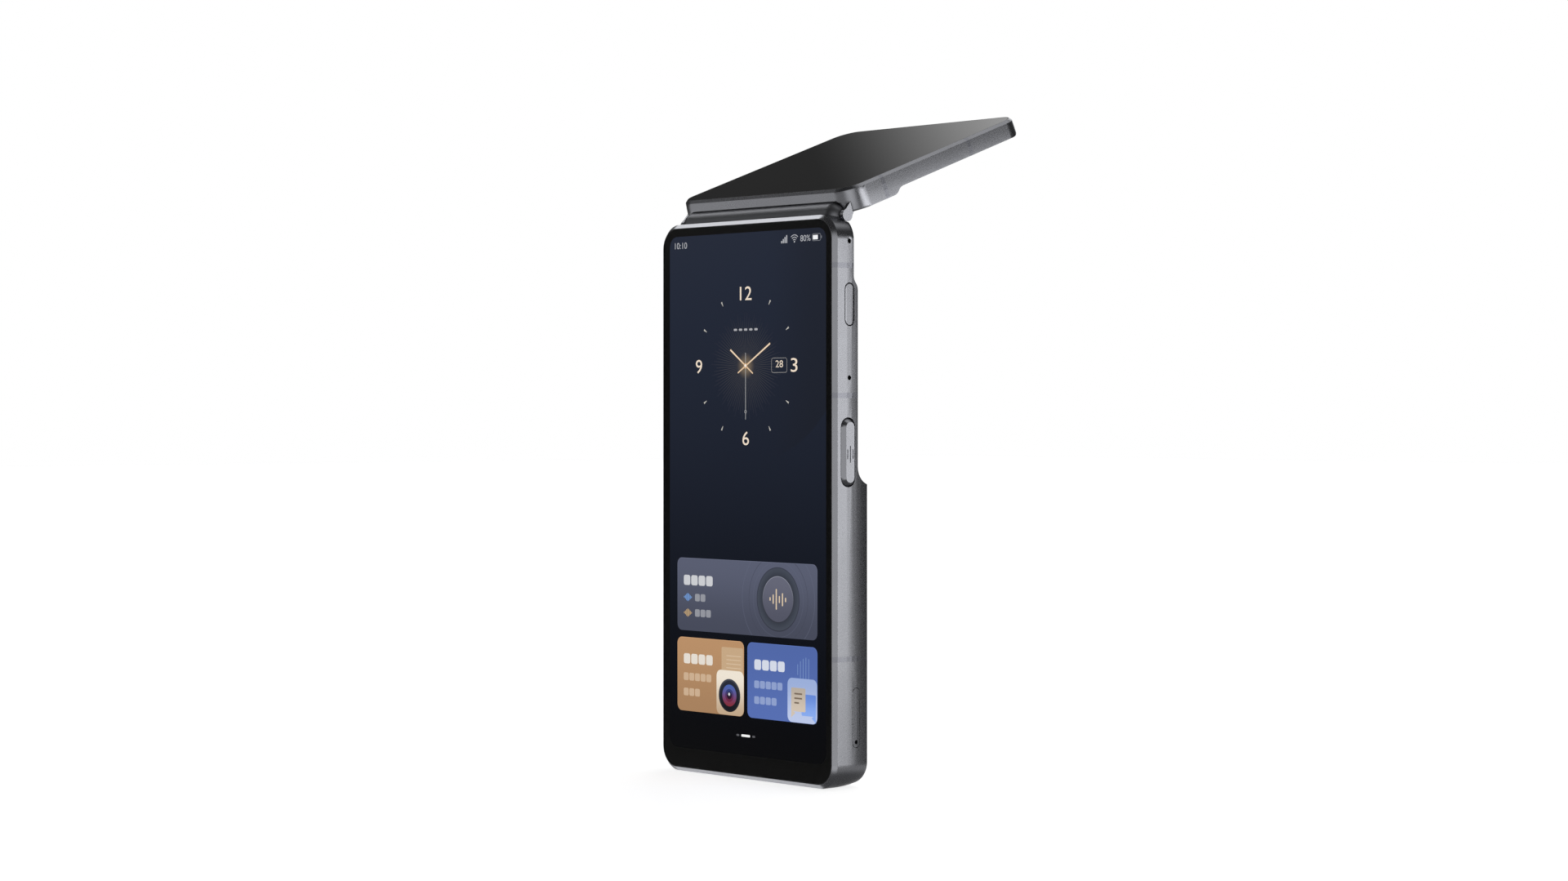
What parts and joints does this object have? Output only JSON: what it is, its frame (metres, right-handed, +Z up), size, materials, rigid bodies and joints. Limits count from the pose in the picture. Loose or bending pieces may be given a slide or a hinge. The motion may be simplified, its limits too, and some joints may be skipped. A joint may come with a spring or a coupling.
{
  "type": "personal digital assistant",
  "caption": "Slim dual-screen handheld with an aluminium body, a full-face front screen, side keys, a card tray and a hinged flip-up second screen on a round spine.",
  "frame": {"origin": "centre of the bottom end face, in the plane of the hinge axis", "axes": "+Z up along the body, +Y from the front screen to the back, +X to the right seen from the front"},
  "size_m": [0.0599, 0.0587, 0.1498],
  "materials": {
    "aluminium_shell": "satin anodised, space grey",
    "band_plastic": "matte",
    "cover_glass": "polished",
    "gasket_rubber": "matte",
    "display_front": "lit picture",
    "display_flip": "switched off",
    "stainless": "brushed",
    "circuit_board": "solder mask",
    "shield_metal": "satin",
    "battery_wrap": "matte foil",
    "tape": "matte",
    "flex_film": "polyimide film",
    "black_plastic": "matte",
    "gold_contacts": "plated",
    "lens_glass": "coated",
    "flash_lens": "translucent",
    "magnet_nickel": "nickel plated",
    "hinge_bronze": "sintered",
    "hinge_black": "black oxide",
    "cable_jacket": "matte"
  },
  "bodies": {
    "body": {"body_shell": "aluminium_shell", "body_antenna_bands": "band_plastic", "front_glass": "cover_glass", "front_glass_gasket": "gasket_rubber", "front_display": "display_front", "mid_plate": "stainless", "mid_plate_screws": "stainless", "main_board": "circuit_board", "shield_cans": "shield_metal", "board_screws": "stainless", "battery": "battery_wrap", "battery_tape": "tape", "battery_flex": "flex_film", "main_flex": "flex_film", "lower_board": "circuit_board", "usb_port": "stainless", "usb_tongue": "black_plastic", "sim_socket": "shield_metal", "speaker": "black_plastic", "speaker_mesh": "stainless", "haptic_motor": "shield_metal", "mic_modules": "gold_contacts", "mic_boots": "gasket_rubber", "switch_bracket": "stainless", "button_switches": "black_plastic", "rear_camera": "black_plastic", "rear_camera_window": "lens_glass", "rear_camera_ring": "stainless", "flash_lens": "flash_lens", "body_magnets": "magnet_nickel", "hinge_spine": "aluminium_shell", "spine_screws": "stainless", "friction_sleeves": "hinge_bronze", "hinge_cable_body": "cable_jacket"},
    "flip_panel": {"hinge_shafts": "stainless", "hinge_arms": "hinge_black", "hinge_cable_flip": "cable_jacket", "flip_frame": "aluminium_shell", "flip_antenna_bands": "band_plastic", "flip_glass": "cover_glass", "flip_glass_gasket": "gasket_rubber", "flip_display": "display_flip", "flip_board": "circuit_board", "flip_camera": "black_plastic", "flip_magnets": "magnet_nickel", "arm_screws": "stainless"},
    "power_button": {"power_button": "aluminium_shell"},
    "talk_button": {"talk_button": "aluminium_shell"},
    "card_tray": {"sim_tray": "aluminium_shell", "sim_card": "gold_contacts"},
    "eject_rod": {"sim_eject_rod": "stainless"},
    "eject_lever": {"sim_eject_lever": "stainless"}
  },
  "joints": [
    {"name": "flip_hinge", "type": "hinge", "parent": "body", "child": "flip_panel", "pos_m": [0, 0, 0.125], "axis": [1, 0, 0], "range_deg": [-110, 70]},
    {"name": "power_button_press", "type": "slide", "parent": "body", "child": "power_button", "axis": [-1, 0, 0], "range_m": [0, 0.00025], "stiffness_N_per_m": 6000},
    {"name": "talk_button_press", "type": "slide", "parent": "body", "child": "talk_button", "axis": [-1, 0, 0], "range_m": [0, 0.0003], "stiffness_N_per_m": 5000},
    {"name": "card_tray_slide", "type": "slide", "parent": "body", "child": "card_tray", "axis": [1, 0, 0], "range_m": [0, 0.012]},
    {"name": "eject_rod_slide", "type": "slide", "parent": "body", "child": "eject_rod", "axis": [-1, 0, 0], "range_m": [0, 0.001]},
    {"name": "eject_lever_turn", "type": "hinge", "parent": "body", "child": "eject_lever", "pos_m": [0.0112, 0.0009, 0.0136], "axis": [0, 1, 0], "range_deg": [0, 16.5]}
  ]
}
